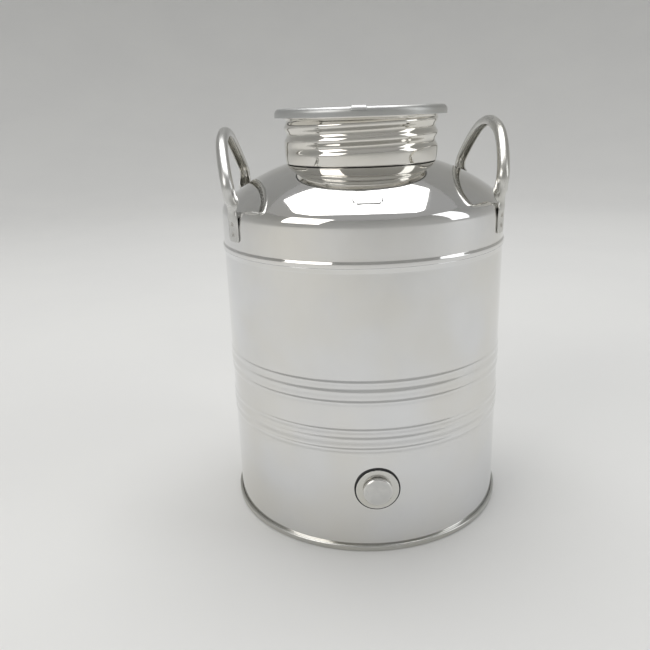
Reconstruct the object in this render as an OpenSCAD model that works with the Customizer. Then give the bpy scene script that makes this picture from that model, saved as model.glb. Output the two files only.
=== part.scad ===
// Stainless steel can with a screw lid, two loop handles and a plugged drain port.
// +Z is up, the base stands on z = 0, the drain port faces -Y.

/* [Body] */
// Outside radius of the cylindrical wall
body_r = 110; // [100:1:120]
// Sheet thickness of the body, shoulder, neck and lid
sheet_t = 0.8; // [0.7:0.05:0.9]
// Height at which the shoulder starts to round inwards
shoulder_z = 241.5; // [238:0.5:250]
// Radius of the rounding between the wall and the dome
shoulder_round = 12; // [8:0.5:14]
// Height of the lower edge of the shoulder's lap over the body
lap_z = 215.6; // [205:0.2:216]
// How far the lapped edge stands out of the wall
lap_proud = 0.95; // [0.9:0.05:1.2]

/* [Stiffening ribs] */
// Height of the bottom of the lower group of ribs
rib_low_z = 79.8; // [75:0.2:84]
// Height of the bottom of the upper group of ribs
rib_high_z = 116.3; // [110:0.2:150]
// Height of a narrow rib
rib_narrow = 5.9; // [5:0.1:6.5]
// Height of the wide rib between two narrow ones
rib_wide = 9.0; // [8:0.1:10]
// How far a narrow rib stands out
rib_narrow_proud = 0.55; // [0.4:0.05:1.0]
// How far the wide rib stands out
rib_wide_proud = 0.75; // [0.5:0.05:1.2]

/* [Base] */
// Outside radius of the rolled seam at the base
seam_r = 112.4; // [112.2:0.1:122]
// Height of the rolled seam
seam_h = 4.5; // [4.2:0.1:5.5]
// Height of the recessed bottom sheet
bottom_z = 4.6; // [4.5:0.1:8]

/* [Neck and thread] */
// Outside radius of the neck between its threads
neck_r = 55.2; // [55.1:0.05:55.3]
// Pitch of the rolled thread
thread_pitch = 10.2; // [9.6:0.1:10.8]
// Depth of the rolled thread
thread_h = 2.0; // [1.6:0.1:2.0]
// Depth of the neck's own thread ridge
ridge_h = 1.7; // [1.4:0.1:1.7]
// Half the height of the neck's thread ridge
ridge_half = 3.1; // [2.6:0.1:3.2]

/* [Lid] */
// Outside radius of the lid's skirt
lid_r = 59.0; // [58.9:0.05:59.2]
// Gap between the closed lid's lower edge and the dome
lid_gap = 0.5; // [0.4:0.1:2]
// How far the skirt draws in towards its lower edge
lid_in = 1.0; // [0:0.1:1]
// Outside radius of the rolled rim
rim_r = 65.6; // [65.4:0.1:68]
// Radius of the rim's rounded outer corner
rim_round = 4.2; // [2.6:0.1:4.2]
// Width of the clip that covers the rim's joint
clip_w = 11; // [8:0.5:16]
// Position of the clip to the left of the drain port, in degrees
clip_turn = 5.3; // [0:0.1:20]

/* [Handles] */
// Width of the strip that the handles are rolled from
strip_w = 16.5; // [15:0.1:17.5]
// Thickness of that strip
strip_t = 1.2; // [1.0:0.1:1.2]
// How far the strip is rolled round along the loop, in degrees
strip_roll = 250; // [220:5:270]
// Height of the lower edge of the handle tabs
tab_z = 226; // [224:0.5:228]
// Sideways set of both bent loops at their top
loop_set = -2.8; // [-4:0.1:4]
// How much lower the left loop's top stands than the right one's
left_drop = 2.5; // [0:0.1:4]
// How far the left loop leans in above its tabs
left_lean = 0.9; // [0:0.1:4.5]
// How far the right loop leans in above its tabs
right_lean = 4.2; // [0:0.1:4.5]
// Radius of a spot weld
spot_r = 1.7; // [1.2:0.1:2.2]

/* [Drain port] */
// Height of the centre of the drain port
port_z = 51.8; // [45:0.1:60]
// Radius of the rubber ring between the wall and the seat
seal_r = 16.8; // [16.6:0.1:18]
// Radius of the flat seat round the port
seat_r = 15.7; // [14.5:0.1:16.5]
// Distance of the seat's flat face from the can's axis, beyond the body radius
seat_proud = 1.6; // [1.4:0.1:2.0]
// Radius of the plug's head
plug_r = 10.7; // [10:0.1:12]
// Thickness of the plug's head
plug_head = 3.4; // [2.6:0.1:3.8]
// Thickness of the plug's gasket
plug_seal = 0.6; // [0.5:0.1:1.2]
// Radius of the plug's threaded stem
stem_r = 7.95; // [7.9:0.01:7.95]
// Length of the stem behind the head
stem_l = 13; // [12:0.5:15]

/* [Hidden] */
$fn = 96;
fit = 0.05;
t = sheet_t;
R = body_r;

// ---- small helpers -------------------------------------------------------
function rev(v) = [for (i = [len(v) - 1 : -1 : 0]) v[i]];
function mix(a, b, k) = a * (1 - k) + b * k;
function unit(v) = v / norm(v);
function ease(x, a, b) = x <= a ? 0 : x >= b ? 1 : pow(sin(90 * (x - a) / (b - a)), 2);
function arc(cr, cz, rad, a0, a1, n) =
    [for (i = [0 : n]) [cr + rad * cos(a0 + (a1 - a0) * i / n),
                        cz + rad * sin(a0 + (a1 - a0) * i / n)]];

// ---- body profile --------------------------------------------------------
// one rib: raised cosine between z0 and z0 + w
function rib(z0, w, h, n) =
    [for (i = [0 : n]) [R + h * pow(sin(180 * i / n), 2), z0 + w * i / n]];
function rib_group(z0) = concat(
    rib(z0, rib_narrow, rib_narrow_proud, 10),
    [for (p = rib(z0 + rib_narrow, rib_wide, rib_wide_proud, 12)) if (p[1] > z0 + rib_narrow + 0.01) p],
    [for (p = rib(z0 + rib_narrow + rib_wide, rib_narrow, rib_narrow_proud, 10))
        if (p[1] > z0 + rib_narrow + rib_wide + 0.01) p]);
wall_top = lap_z + 2.3;
wall_line = concat([[R, 2.45]], rib_group(rib_low_z), rib_group(rib_high_z), [[R, wall_top]]);

// ---- dome profile --------------------------------------------------------
// normals go from 0 to dome_a1 along the rounding, and on to dome_a2 along the dome
dome_a1 = 51;
dome_a2 = 74.4;
hole_r = neck_r + fit;
p1r = R - shoulder_round + shoulder_round * cos(dome_a1);
p1z = shoulder_z + shoulder_round * sin(dome_a1);
dome_end_r = neck_r + 0.8;
dome_rad = (p1r - dome_end_r) / (cos(dome_a1) - cos(dome_a2));
c2r = p1r - dome_rad * cos(dome_a1);
c2z = p1z - dome_rad * sin(dome_a1);
function dome(off) = concat(
    arc(R - shoulder_round, shoulder_z, shoulder_round + off, 0, dome_a1, 10),
    [for (p = arc(c2r, c2z, dome_rad + off, dome_a1, dome_a2, 12)) if (p[0] < p1r - 0.5) p]);
neck_z = c2z + dome_rad * sin(dome_a2);

// ---- thread --------------------------------------------------------------
// The lid's groove follows z = groove_z + pitch * s / 360, s in degrees from +X, right-handed.
groove_z = neck_z + 15.8;
lid_z = neck_z - 0.5 + lid_gap;
rim_z = neck_z + 33.8;
NA = 48;
function near_turn(z, a, z0) = a + 360 * round((z - z0) / thread_pitch - a / 360);
function roll(z, a, z0, h, half, s0, s1, f0, f1) =
    let (s = near_turn(z, a, z0), d = z - z0 - thread_pitch * s / 360)
    abs(d) >= half ? 0 :
    h * pow(cos(90 * d / half), 2) * ease(s, s0, s0 + f0) * (1 - ease(s, s1 - f1, s1));
function lid_groove(z, a) =
    roll(z, a, groove_z, thread_h, thread_pitch / 2, -175, 760, 60, 80) * (1 - ease(z, rim_z - 2.2, rim_z - 0.8))
    + lid_in * pow(max(0, 1 - (z - lid_z) / 8.5), 1.6);
function neck_ridge(z, a) = roll(z, a, groove_z + thread_pitch / 2, ridge_h, ridge_half, -300, 60, 45, 45);

// closed band of NA sections, each a list of [r, z] that runs up outside and down inside
module band(sections) {
    m = len(sections[0]);
    pts = [for (j = [0 : NA - 1]) for (p = sections[j])
        [p[0] * cos(360 * j / NA), p[0] * sin(360 * j / NA), p[1]]];
    faces = [for (j = [0 : NA - 1]) for (i = [0 : m - 1])
        let (a = j * m + i, b = j * m + (i + 1) % m,
             c = ((j + 1) % NA) * m + (i + 1) % m, d = ((j + 1) % NA) * m + i)
        each [[a, b, c], [a, c, d]]];
    polyhedron(points = pts, faces = faces, convexity = 8);
}

// ---- handle route --------------------------------------------------------
// half of one loop, from the tab's lower edge to the top, as [x, y, z]
ROUTE = [[97, 53.3, tab_z], [97, 53.3, 237], [97, 54.5, 243], [97.2, 56.4, 252], [97.4, 66.8, 266],
         [99.2, 55.8, 281], [100.7, 37.5, 294.2], [101.2, 20.6, 300.6], [101.4, 0, 303.2]];
full_route = concat([for (p = ROUTE) [p[0], -p[1], p[2]]],
                    [for (i = [len(ROUTE) - 2 : -1 : 0]) ROUTE[i]]);
SUB = 4;
function at(v, i) = i < 0 ? 2 * v[0] - v[1] : i >= len(v) ? 2 * v[len(v) - 1] - v[len(v) - 2] : v[i];
function spline(v, i, u) =
    let (a = at(v, i - 1), b = at(v, i), c = at(v, i + 1), d = at(v, i + 2))
    0.5 * (2 * b + (c - a) * u + (2 * a - 5 * b + 4 * c - d) * u * u + (3 * b - a - 3 * c + d) * u * u * u);
function route(v) = concat([for (i = [0 : len(v) - 2]) for (k = [0 : SUB - 1]) spline(v, i, k / SUB)],
                           [v[len(v) - 1]]);
// section of the rolled strip: middle c, unit back direction b, unit width direction w, roll share k
NS = 10;
function strip_section(c, b, w, k, wide) =
    let (full = mix(wide / 110.7 * 180 / PI, strip_roll * wide / strip_w, k),
         rad = wide / (full * PI / 180), off = k * strip_w / (strip_roll * PI / 180))
    concat([for (i = [0 : NS]) let (q = -full / 2 + full * i / NS)
                c + b * ((rad + strip_t / 2) * cos(q) - rad + off) + w * ((rad + strip_t / 2) * sin(q))],
           [for (i = [NS : -1 : 0]) let (q = -full / 2 + full * i / NS)
                c + b * ((rad - strip_t / 2) * cos(q) - rad + off) + w * ((rad - strip_t / 2) * sin(q))]);

module loop_handle(set, drop, lean) {
    line = [for (p = route(full_route))
        [p[0] + set * ease(p[2], 243, 320) - lean * (ease(p[2], 243, 264) - 1.25 * ease(p[2], 258, 312)),
         p[1], p[2] - drop * ease(p[2], 252, 303.2)]];
    n = len(line);
    m = 2 * (NS + 1);
    rings = [for (i = [0 : n - 1])
        let (p = line[i],
             tg = unit(line[min(i + 1, n - 1)] - line[max(i - 1, 0)]),
             k = ease(p[2], 245, 263),
             out = unit([p[0], p[1], 0]),
             up = unit(cross([1, 0, 0], tg)),
             b0 = unit(mix(out, up, k)),
             b = unit(b0 - tg * (b0 * tg)),
             w = cross(b, tg),
             waist = p[2] <= 242 || p[2] >= 262 ? 0 : pow(sin(180 * (p[2] - 242) / 20), 2),
             wide = strip_w * (1 - 0.3 * waist) - (i == 0 || i == n - 1 ? 3.6 : 0))
        strip_section(p, b, w, k, wide)];
    pts = [for (r = rings) each r];
    side = [for (i = [0 : n - 2]) for (j = [0 : m - 1])
        let (a = i * m + j, b = i * m + (j + 1) % m, c = (i + 1) * m + (j + 1) % m, d = (i + 1) * m + j)
        each [[a, b, c], [a, c, d]]];
    cap0 = [for (j = [0 : NS - 1]) each [[m - 1 - j, j + 1, j], [m - 1 - j, m - 2 - j, j + 1]]];
    cap1 = [for (f = cap0) [f[2] + (n - 1) * m, f[1] + (n - 1) * m, f[0] + (n - 1) * m]];
    polyhedron(points = pts, faces = concat(side, cap0, cap1), convexity = 10);
}

// ---- can ---------------------------------------------------------------
module port_bore(r, y0, y1) {
    translate([0, -y1, port_z]) rotate([-90, 0, 0]) cylinder(r = r, h = y1 - y0);
}

module body_shell() {
    color([0.82, 0.81, 0.78]) difference() {
        rotate_extrude($fn = 180) polygon(concat(
            [[R - t, 1.6], [R + 1.2, 1.6], [R + 1.2, 2.45]],
            wall_line,
            [for (p = rev(wall_line)) if (p[1] > 2.5) [p[0] - t, p[1]]]));
        port_bore(8.5, R - 20, R + 5);
    }
}

// butt weld up the back of the wall, following the ribs
module body_side_weld() {
    color([0.72, 0.71, 0.69]) rotate([0, 0, 89.2]) rotate_extrude(angle = 1.6, $fn = 180)
        polygon(concat([for (p = wall_line) if (p[1] > 5 && p[1] < wall_top - 1) [p[0] + 0.12, p[1]]],
            [[R + 0.12, lap_z - 4]], [[R, lap_z - 4]],
            [for (p = rev(wall_line)) if (p[1] > 5 && p[1] < wall_top - 1) p],
            [[R, seam_h + 0.3], [R + 0.12, seam_h + 0.3]]));
}

module bottom_disc() {
    z = bottom_z;
    color([0.78, 0.78, 0.77]) rotate_extrude($fn = 180) polygon([
        [0, z + 0.6], [60, z + 0.6], [62, z], [R - 2.9, z], [R - 1.7, z - 1.2], [R - 1.7, 0.8],
        [R + 1.2, 0.8], [R + 1.2, 1.55], [R - 0.85, 1.55], [R - 0.85, z - 0.6], [R - 2.4, z + t],
        [62.3, z + t], [60.3, z + 0.6 + t], [0, z + 0.6 + t]]);
}

module bottom_seam_ring() {
    color([0.62, 0.62, 0.60]) rotate_extrude($fn = 180) polygon(concat(
        [[R - 1.6, 0]], arc(seam_r - 1, 1, 1, -90, 0, 5),
        arc(seam_r - 1.2, seam_h - 1.2, 1.2, 0, 90, 6),
        [[R + 0.35, seam_h], [R + 0.03, seam_h - 0.4], [R + 0.03, 2.5], [R + 1.25, 2.5],
         [R + 1.25, 0.75], [R - 1.6, 0.75]]));
}

module shoulder_top() {
    color([0.84, 0.83, 0.80]) rotate_extrude($fn = 180) polygon(concat(
        [[R + fit, lap_z], [R + lap_proud, lap_z], [R + lap_proud, lap_z + 2.8], [R, lap_z + 4.4]],
        dome(0), [[hole_r, neck_z + 0.2]],
        [[hole_r, neck_z + 0.2 - t]], rev(dome(-t)),
        [[R - t, lap_z + 4.0], [R + fit, lap_z + 2.5]]));
}

module shoulder_weld() {
    color([0.74, 0.73, 0.71]) rotate_extrude($fn = 180)
        polygon([[R + 0.02, lap_z - 3.6], [R + lap_proud, lap_z - 0.02], [R + 0.02, lap_z - 0.02]]);
}

// plain oval pad pressed into the dome above the port
module shoulder_emboss() {
    color([0.80, 0.79, 0.76]) intersection() {
        rotate_extrude($fn = 180) polygon(concat(dome(0.02), rev(dome(0.6))));
        rotate([0, 0, -2]) translate([0, -95, 200]) linear_extrude(120) union() {
            translate([-6, 0]) circle(r = 4.2, $fn = 48);
            translate([6, 0]) circle(r = 4.2, $fn = 48);
            square([12, 8.4], center = true);
        }
    }
}

module neck_collar() {
    zs = concat([neck_z - 2.6, neck_z + 2, neck_z + 7.4],
                [for (i = [0 : 12]) neck_z + 8.6 + 1.25 * i], [neck_z + 24.6]);
    color([0.80, 0.80, 0.78]) band([for (j = [0 : NA - 1]) let (a = 360 * j / NA) concat(
        [for (z = zs) [neck_r + neck_ridge(z, a), z]],
        [for (z = rev(zs)) [neck_r - t + neck_ridge(z, a), z]])]);
}

module neck_weld() {
    color([0.74, 0.73, 0.71]) rotate_extrude($fn = 180)
        polygon([[hole_r, neck_z + 0.25], [neck_r + 1.2, neck_z - 0.02], [hole_r, neck_z + 1.7]]);
}

module mouth_ring() {
    color([0.82, 0.81, 0.79]) rotate_extrude($fn = 180) difference() {
        translate([neck_r - 1.8, neck_z + 26.15]) circle(r = 1.95, $fn = 48);
        translate([neck_r - t - 0.17, neck_z + 20]) square([t + 1, 4.63]);
    }
}

module left_handle() { color([0.70, 0.70, 0.69]) mirror([1, 0, 0]) loop_handle(-loop_set, left_drop, left_lean); }
module right_handle() { color([0.70, 0.70, 0.69]) loop_handle(loop_set, 0, right_lean); }

tab_line = route(full_route);
function tab_r(z) =
    let (i = [for (k = [0 : len(tab_line) - 2]) if (tab_line[k][2] <= z && tab_line[k + 1][2] > z) k][0],
         p = mix(tab_line[i], tab_line[i + 1], (z - tab_line[i][2]) / (tab_line[i + 1][2] - tab_line[i][2])))
    norm([p[0], p[1]]);
// each weld lies flat on its tab, tilted with it
module handle_spot_welds() {
    az = atan2(53.3, 97);
    color([0.45, 0.44, 0.43]) for (s = [az, -az, 180 - az, 180 + az], z = [231.4, 238.7])
        rotate([0, 0, s]) translate([tab_r(z) + strip_t / 2 + 0.06, 0, z])
            rotate([0, 90 + atan((tab_r(z + spot_r) - tab_r(z - spot_r)) / spot_r / 2), 0])
                cylinder(r1 = spot_r, r2 = spot_r * 0.72, h = 0.3, $fn = 32);
}

// ---- drain port ----------------------------------------------------------
module port_outer_gasket() {
    color([0.06, 0.06, 0.06]) difference() {
        port_bore(seal_r, R - 8, R + 0.75);
        cylinder(r = R + 0.02, h = 200, $fn = 180);
        port_bore(8.5, R - 20, R + 5);
    }
}

module port_seat() {
    h = seat_proud - 0.77;
    color([0.83, 0.82, 0.80]) translate([0, -R - seat_proud, port_z]) rotate([-90, 0, 0]) rotate_extrude()
        polygon(concat([[8.5, h], [seat_r, h]], arc(seat_r - 0.45, 0.45, 0.45, 0, -90, 5), [[8.5, 0]]));
}

module port_inner_gasket() {
    color([0.12, 0.12, 0.12]) difference() {
        intersection() {
            port_bore(12.2, R - t - 3.0, R + 1);
            cylinder(r = R - t - 0.02, h = 200, $fn = 180);
        }
        port_bore(8.5, R - 20, R + 5);
    }
}

module port_lock_nut() {
    color([0.66, 0.66, 0.65]) difference() {
        translate([0, -(R - t - 3.02), port_z]) rotate([-90, 0, 0]) cylinder(r = 13.2, h = 7, $fn = 6);
        port_bore(stem_r + 0.06, R - 30, R + 5);
    }
}

module plug_gasket() {
    y = R + seat_proud + 0.02;
    color([0.08, 0.08, 0.08]) difference() {
        port_bore(plug_r - 0.8, y, y + plug_seal - 0.04);
        port_bore(stem_r + 0.05, y - 1, y + plug_seal + 1);
    }
}

module drain_plug() {
    y = R + seat_proud + plug_seal;
    color([0.70, 0.70, 0.70]) translate([0, -y - plug_head, port_z]) rotate([-90, 0, 0])
        rotate_extrude() polygon([[0, 0.25], [1.2, 0.12], [plug_r - 0.7, 0], [plug_r, 0.7],
            [plug_r, plug_head - 0.3], [plug_r - 0.3, plug_head], [stem_r, plug_head],
            [stem_r, plug_head + stem_l - 1], [stem_r - 1, plug_head + stem_l],
            [0, plug_head + stem_l]]);
}

// ---- lid ---------------------------------------------------------------
module lid_gasket() {
    z = neck_z + 28.2;
    color([0.92, 0.92, 0.90]) rotate_extrude($fn = 180)
        polygon([[50.6, z + 0.3], [50.9, z], [54.7, z], [55.0, z + 0.3], [55.0, z + 2], [50.6, z + 2]]);
}

module lid_skirt() {
    zs = [for (i = [0 : 24]) lid_z + 0.5 + 1.32 * i];
    color([0.82, 0.80, 0.76]) band([for (j = [0 : NA - 1]) let (a = 360 * j / NA) concat(
        [[lid_r - lid_in - 0.3, lid_z]],
        [for (z = zs) [lid_r - lid_groove(z, a), z]],
        [[lid_r + 0.35, rim_z - 0.3], [lid_r + 1.2, rim_z + 0.3], [lid_r + 4.8, rim_z + 0.4],
         [lid_r + 4.8, rim_z + 1.1], [lid_r + 0.9, rim_z + 1.1], [lid_r - t + 0.2, rim_z + 0.5]],
        [for (z = rev(zs)) [lid_r - t - lid_groove(z, a), z]],
        [[lid_r - lid_in - t + 0.2, lid_z]])]);
}

module lid_plate() {
    z = neck_z + 30.3;
    color([0.83, 0.82, 0.79]) rotate_extrude($fn = 180) polygon([
        [0, z], [36, z], [37, z + 0.7], [41, z + 0.7], [42, z], [54.4, z], [55.6, z + 0.5], [55.95, z + 1.4],
        [55.95, rim_z + 1.15], [lid_r + 4.8, rim_z + 1.15], [lid_r + 4.8, rim_z + 1.85],
        [55.6, rim_z + 1.85], [55.15, rim_z + 1.4], [55.15, z + 1.8], [54.2, z + t],
        [42.2, z + t], [41.2, z + 0.7 + t], [36.8, z + 0.7 + t], [35.8, z + t], [0, z + t]]);
}

module lid_rim_ring() {
    o = rim_r - rim_round;
    top = rim_z + 6.8;
    color([0.60, 0.60, 0.58]) rotate_extrude($fn = 180) polygon(concat(
        [[rim_r - 0.9, rim_z], [rim_r, rim_z]],
        arc(o, top - rim_round, rim_round, 0, 90, 8), arc(lid_r + 1.6, top - 1.6, 1.6, 90, 180, 6),
        [[lid_r, rim_z + 1.9], [lid_r + 0.8, rim_z + 1.9]],
        arc(lid_r + 1.6, top - 1.6, 0.8, 180, 90, 6), arc(o, top - rim_round, rim_round - 0.9, 90, 0, 8)));
}

module rim_clip() {
    o = rim_r - rim_round;
    top = rim_z + 6.8;
    low = 17;
    turn = clip_w / rim_r * 180 / PI;
    color([0.66, 0.66, 0.64]) rotate([0, 0, -90 - clip_turn - turn / 2])
        rotate_extrude(angle = turn, $fn = 180) polygon(concat(
            arc(o, top - rim_round, rim_round + 0.8, low, 90, 10),
            [[lid_r + 1.9, top + 0.8], [lid_r + 1.6, top + 0.5], [lid_r + 1.6, top + 0.03]],
            rev(arc(o, top - rim_round, rim_round + 0.03, low, 90, 10))));
}

body_shell();
body_side_weld();
bottom_disc();
bottom_seam_ring();
shoulder_top();
shoulder_weld();
shoulder_emboss();
neck_collar();
neck_weld();
mouth_ring();
left_handle();
right_handle();
handle_spot_welds();
port_outer_gasket();
port_seat();
port_inner_gasket();
port_lock_nut();
plug_gasket();
drain_plug();
lid_gasket();
lid_skirt();
lid_plate();
lid_rim_ring();
rim_clip();
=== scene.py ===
import math

import bmesh
import bpy
import numpy as np
from mathutils import Matrix, Vector


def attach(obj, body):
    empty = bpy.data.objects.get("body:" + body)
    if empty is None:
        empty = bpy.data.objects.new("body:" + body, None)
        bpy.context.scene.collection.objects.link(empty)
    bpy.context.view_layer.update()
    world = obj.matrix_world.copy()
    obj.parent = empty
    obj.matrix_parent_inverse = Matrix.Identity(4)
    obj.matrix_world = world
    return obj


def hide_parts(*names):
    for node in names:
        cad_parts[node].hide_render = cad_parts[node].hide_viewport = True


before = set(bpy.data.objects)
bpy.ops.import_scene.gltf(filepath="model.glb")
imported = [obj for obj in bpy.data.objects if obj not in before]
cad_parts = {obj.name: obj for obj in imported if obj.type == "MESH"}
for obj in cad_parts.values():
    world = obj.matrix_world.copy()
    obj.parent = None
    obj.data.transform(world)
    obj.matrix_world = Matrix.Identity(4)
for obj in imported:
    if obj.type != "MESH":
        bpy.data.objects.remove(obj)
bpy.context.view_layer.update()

MM = 0.001
TAU = 2 * math.pi


# ---------------------------------------------------------------- camera
def look():
    yaw, pitch, roll = math.radians(1.059), math.radians(17.812), math.radians(-1.864)
    cy, sy, cp, sp = math.cos(yaw), math.sin(yaw), math.cos(pitch), math.sin(pitch)
    fw = Vector((sy * cp, cy * cp, -sp))
    rt = Vector((cy, -sy, 0))
    up = rt.cross(fw)
    cr, sr = math.cos(roll), math.sin(roll)
    right, top = rt * cr + up * sr, -rt * sr + up * cr
    m = Matrix((right, top, -fw)).transposed().to_4x4()
    m.translation = Vector((-0.0421, -0.5354, 0.3150))
    return m


cam = bpy.data.objects.new("camera", bpy.data.cameras.new("camera"))
cam.data.lens, cam.data.sensor_width = 37.05, 36
cam.data.clip_start, cam.data.clip_end = 0.02, 60
cam.matrix_world = look()
bpy.context.scene.collection.objects.link(cam)
bpy.context.scene.camera = cam


# ---------------------------------------------------------------- the part's own sizes, in mm
R, T = 110.0, 0.8
LAP_Z, LAP_PROUD, WALL_TOP = 215.6, 0.95, 217.9
RIBS = [(79.8, 5.9, 0.55), (85.7, 9.0, 0.75), (94.7, 5.9, 0.55),
        (116.3, 5.9, 0.55), (122.2, 9.0, 0.75), (131.2, 5.9, 0.55)]
SEAM_R, SEAM_H, BOTTOM_Z = 112.4, 4.5, 4.6
SH_Z, SH_ROUND, A1, A2 = 241.5, 12.0, 51.0, 74.4
NECK_R, FIT = 55.2, 0.05
HOLE_R = NECK_R + FIT
P1R = R - SH_ROUND + SH_ROUND * math.cos(math.radians(A1))
P1Z = SH_Z + SH_ROUND * math.sin(math.radians(A1))
DOME_RAD = (P1R - (NECK_R + 0.8)) / (math.cos(math.radians(A1)) - math.cos(math.radians(A2)))
C2R = P1R - DOME_RAD * math.cos(math.radians(A1))
C2Z = P1Z - DOME_RAD * math.sin(math.radians(A1))
NECK_Z = C2Z + DOME_RAD * math.sin(math.radians(A2))
PITCH, TH_H, RIDGE_H, RIDGE_HALF = 10.2, 2.0, 1.7, 3.1
LID_R, LID_IN, RIM_R, RIM_ROUND = 59.0, 1.0, 65.6, 4.2
GROOVE_Z, LID_Z, RIM_Z = NECK_Z + 15.8, NECK_Z, NECK_Z + 33.8
PORT_Z, SEAL_R, SEAL_Y, SEAT_R, SEAT_Y = 51.8, 16.8, 110.75, 15.7, 111.6
PLUG_R, PLUG_HEAD, PLUG_SEAL, STEM_R, STEM_L = 10.7, 3.4, 0.6, 7.95, 13.0


def ease(x, a, b):
    return np.sin(np.pi / 2 * np.clip((np.asarray(x, float) - a) / (b - a), 0, 1)) ** 2


def arc(cr, cz, rad, a0, a1, n):
    return [(cr + rad * math.cos(math.radians(a0 + (a1 - a0) * i / n)),
             cz + rad * math.sin(math.radians(a0 + (a1 - a0) * i / n))) for i in range(n + 1)]


def roll(z, a, z0, h, half, s0, s1, f0, f1):
    """Height of the rolled thread at height z and angle a in degrees."""
    s = a + 360 * np.round((z - z0) / PITCH - a / 360)
    d = z - z0 - PITCH * s / 360
    h = h * np.cos(np.pi / 2 * np.clip(d / half, -1, 1)) ** 2
    return h * ease(s, s0, s0 + f0) * (1 - ease(s, s1 - f1, s1))


def lid_groove(z, a):
    taper = LID_IN * np.clip(1 - (z - LID_Z) / 8.5, 0, 1) ** 1.6
    return roll(z, a, GROOVE_Z, TH_H, PITCH / 2, -175, 760, 60, 80) * (1 - ease(z, RIM_Z - 2.2, RIM_Z - 0.8)) + taper


def neck_ridge(z, a):
    return roll(z, a, GROOVE_Z + PITCH / 2, RIDGE_H, RIDGE_HALF, -300, 60, 45, 45)


# ---------------------------------------------------------------- mesh helpers
def wear_attribute(me):
    """Marks convex edges: how strongly each vertex stands out of its neighbours."""
    n = len(me.vertices)
    co = np.empty(n * 3, np.float32); me.vertices.foreach_get("co", co); co = co.reshape(-1, 3)
    no = np.empty(n * 3, np.float32); me.vertices.foreach_get("normal", no); no = no.reshape(-1, 3)
    ed = np.empty(len(me.edges) * 2, np.int32); me.edges.foreach_get("vertices", ed); ed = ed.reshape(-1, 2)
    curve = np.zeros(n); count = np.zeros(n)
    for a, b in ((0, 1), (1, 0)):
        d = co[ed[:, a]] - co[ed[:, b]]
        ln = np.maximum((d ** 2).sum(1), 1e-9)
        k = (d * no[ed[:, a]]).sum(1) / ln * 2 * MM
        np.add.at(curve, ed[:, a], k); np.add.at(count, ed[:, a], 1)
    curve /= np.maximum(count, 1)
    w = np.clip((curve - 0.04) / 0.3, 0, 1)
    at = me.attributes.new("wear", "FLOAT", "POINT")
    at.data.foreach_set("value", w.astype(np.float32))


def add(name, verts, faces, body, mat, replaces=(), sharp=32, flip=None):
    me = bpy.data.meshes.new(name)
    me.from_pydata((np.asarray(verts, float) * MM).tolist(), [], faces)
    bm = bmesh.new(); bm.from_mesh(me)
    bmesh.ops.recalc_face_normals(bm, faces=bm.faces)
    bm.to_mesh(me); bm.free()
    me.shade_smooth()
    me.set_sharp_from_angle(angle=math.radians(sharp))
    wear_attribute(me)
    me.materials.append(mat)
    ob = bpy.data.objects.new(name, me)
    bpy.context.scene.collection.objects.link(ob)
    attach(ob, body)
    if replaces:
        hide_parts(*replaces)
    return ob


def grid_faces(n, m, wrap_n, wrap_m, base=0):
    i = np.arange(n if wrap_n else n - 1)[:, None]
    j = np.arange(m if wrap_m else m - 1)[None, :]
    a = i * m + j
    b = i * m + (j + 1) % m
    c = ((i + 1) % n) * m + (j + 1) % m
    d = ((i + 1) % n) * m + j
    return (np.stack([a, b, c, d], -1).reshape(-1, 4) + base).tolist()


def lathe(sections, closed=True):
    """sections: one closed profile of (r, z), or one for each angle. Points on the axis are merged."""
    def build(prof, n):
        a = np.arange(n) * TAU / n
        rr, zz = prof[..., 0], prof[..., 1]
        if prof.ndim == 2:
            rr, zz = np.tile(rr, (n, 1)), np.tile(zz, (n, 1))
        m = rr.shape[1]
        v = np.stack([rr * np.cos(a)[:, None], rr * np.sin(a)[:, None], zz], -1).reshape(-1, 3)
        f = grid_faces(n, m, True, closed)
        pole = np.abs(rr[0]) < 1e-6
        if pole.any():
            remap = np.arange(n * m)
            for k in np.where(pole)[0]:
                remap[k::m] = k
            keep = sorted(set(remap.tolist()))
            index = {o: i for i, o in enumerate(keep)}
            out = []
            for q in f:
                q2 = []
                for x in q:
                    y = index[int(remap[x])]
                    if y not in q2:
                        q2.append(y)
                if len(q2) >= 3:
                    out.append(q2)
            v, f = v[keep], out
        return v, f
    prof, n = sections
    return build(np.asarray(prof, float), n)


def lathe_y(prof, n, y0):
    """Lathe about the port's axis: prof is (r, h), h measured outwards from y0."""
    v, f = lathe((prof, n))
    out = np.stack([v[:, 0], -(y0 + v[:, 2]), PORT_Z + v[:, 1]], -1)
    return out, f


def fillet(pts, radii, seg=5, closed=True):
    """Rounds the corners of a profile."""
    out, n = [], len(pts)
    for i, p in enumerate(pts):
        r = radii[i] if isinstance(radii, (list, tuple)) else radii
        if r <= 0 or (not closed and i in (0, n - 1)):
            out.append(tuple(p)); continue
        p = np.array(p, float)
        a, b = np.array(pts[i - 1], float) - p, np.array(pts[(i + 1) % n], float) - p
        la, lb = np.linalg.norm(a), np.linalg.norm(b)
        a, b = a / la, b / lb
        half = math.acos(max(-1, min(1, float(a @ b)))) / 2
        if half > math.radians(88):
            out.append(tuple(p)); continue
        cut = min(r / math.tan(half), la * 0.49, lb * 0.49)
        q0, q1 = p + a * cut, p + b * cut
        for k in range(seg + 1):
            u = k / seg
            out.append(tuple((1 - u) ** 2 * q0 + 2 * u * (1 - u) * p + u * u * q1))
    return out


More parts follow.
